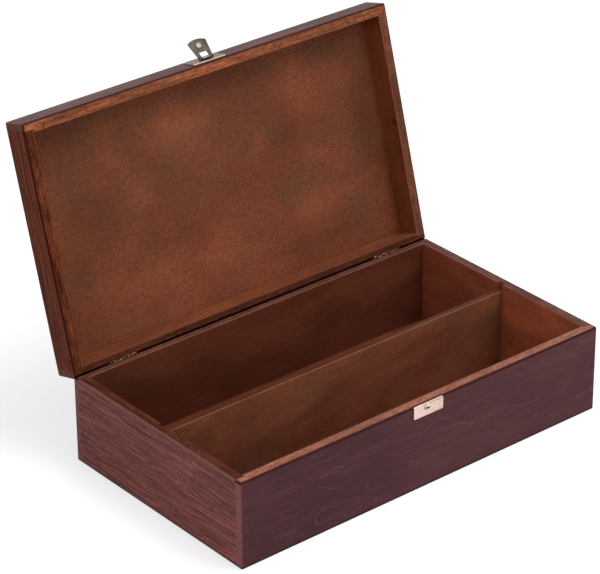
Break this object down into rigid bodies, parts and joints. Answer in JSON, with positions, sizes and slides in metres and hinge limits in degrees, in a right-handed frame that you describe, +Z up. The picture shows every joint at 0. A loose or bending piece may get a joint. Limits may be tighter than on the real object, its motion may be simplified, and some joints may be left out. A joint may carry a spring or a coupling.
{
  "type": "wooden wine box",
  "caption": "Flat box of stained wood for bottles lying down, with a long divider, a shallow hinged lid that stands open and a small lever latch.",
  "frame": {"origin": "middle of the flat underside, on the bottom panel", "axes": "+X along the bottles with the box seen from its front, -Y towards the front with the latch, +Z up; lid stored open, lever folded up"},
  "size_m": [0.35, 0.2726, 0.2715],
  "materials": {
    "stained_board": "walnut-brown stain, satin, grain showing",
    "stained_panel": "mottled brown stain, satin",
    "bright_brass": "bright brass plate",
    "latch_brass": "dulled brass plate",
    "brad_steel": "steel, stained over"
  },
  "bodies": {
    "base": {"base_front_wall": "stained_board", "base_back_wall": "stained_board", "base_left_wall": "stained_board", "base_right_wall": "stained_board", "bottom_panel": "stained_panel", "divider": "stained_board", "hinge_left_base_leaf": "bright_brass", "hinge_right_base_leaf": "bright_brass", "hinge_left_pin": "bright_brass", "hinge_right_pin": "bright_brass", "base_leaf_nails": "bright_brass", "base_corner_brads": "brad_steel", "catch_plate": "bright_brass", "catch_nails": "bright_brass"},
    "lid": {"lid_front_rail": "stained_board", "lid_back_rail": "stained_board", "lid_left_rail": "stained_board", "lid_right_rail": "stained_board", "lid_panel": "stained_panel", "hinge_left_lid_leaf": "bright_brass", "hinge_right_lid_leaf": "bright_brass", "lid_leaf_nails": "bright_brass", "lid_corner_brads": "brad_steel", "latch_plate": "latch_brass", "latch_plate_nails": "latch_brass", "latch_pin": "latch_brass"},
    "latch": {"latch_lever": "latch_brass"}
  },
  "joints": [
    {"name": "lid_hinge", "type": "hinge", "parent": "base", "child": "lid", "pos_m": [0, 0.0965, 0.07265], "axis": [1, 0, 0], "range_deg": [0, 105.5]},
    {"name": "latch_hinge", "type": "hinge", "parent": "lid", "child": "latch", "pos_m": [0.0012, 0.15708, 0.26096], "axis": [1, 0, 0], "range_deg": [-49, 127]}
  ]
}
